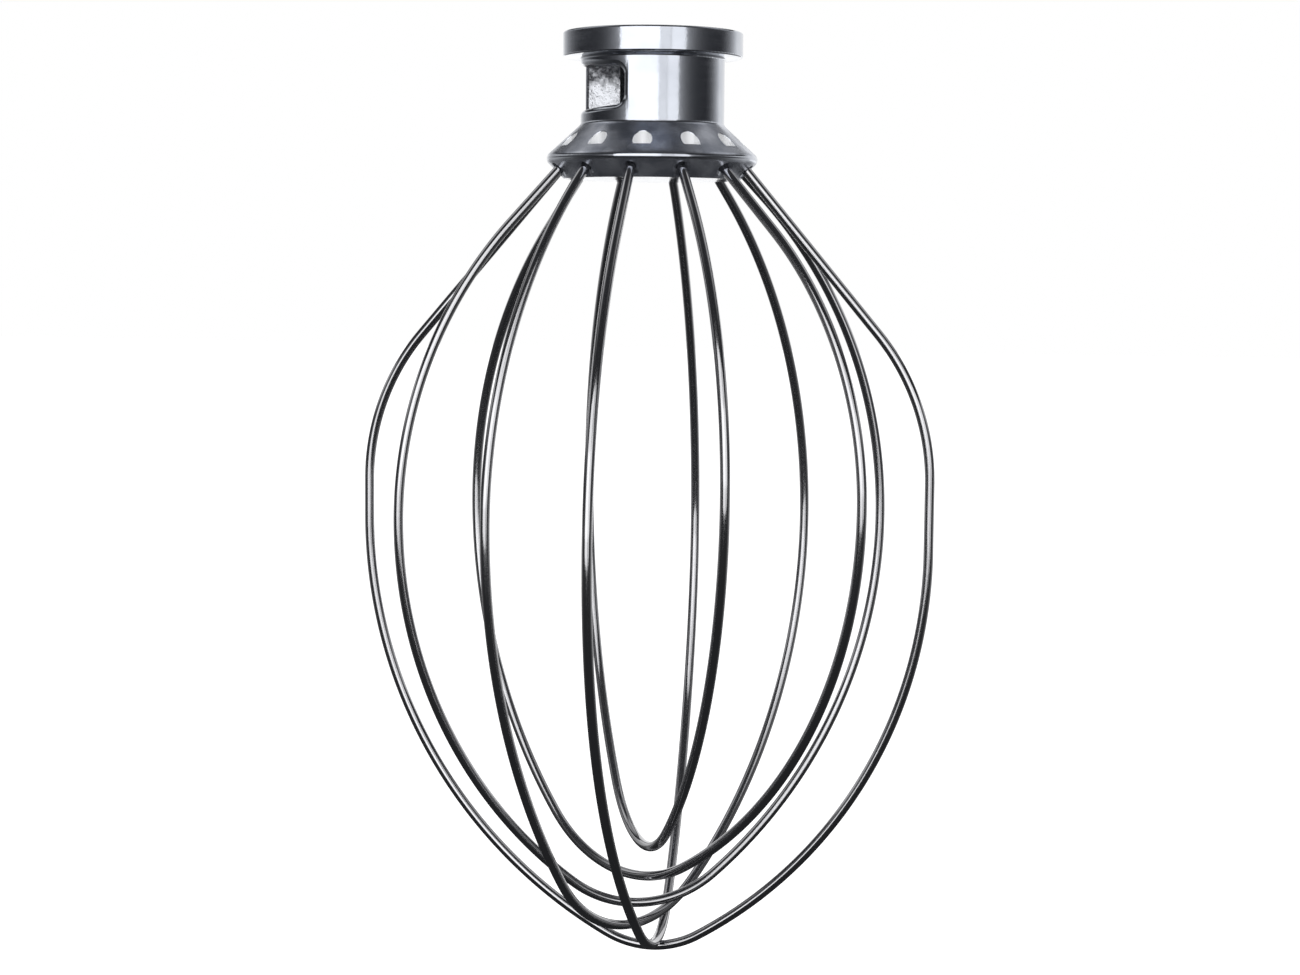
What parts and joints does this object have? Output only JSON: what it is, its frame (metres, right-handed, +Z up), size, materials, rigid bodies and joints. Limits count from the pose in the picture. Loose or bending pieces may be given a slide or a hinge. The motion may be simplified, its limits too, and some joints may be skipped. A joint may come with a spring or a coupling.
{
  "type": "stand mixer wire whisk",
  "caption": "Wire whisk head for a stand mixer: nested bent wire loops staked in a cast hub with a shaft bore and a bayonet slot.",
  "frame": {"origin": "on the shaft bore's axis, at the height of the mixer's cross pin when it is locked in the slot", "axes": "+Z up the shaft bore, out of its mouth; +X in the plane of the widest loop"},
  "size_m": [0.108, 0.0927, 0.1704],
  "materials": {
    "cast_hub": "burnished cast aluminium",
    "bright_wire": "bright drawn stainless wire"
  },
  "bodies": {
    "root": {"hub": "cast_hub", "loop_1": "bright_wire", "loop_2": "bright_wire", "loop_3": "bright_wire", "loop_4": "bright_wire", "loop_5": "bright_wire", "loop_6": "bright_wire"}
  },
  "joints": []
}
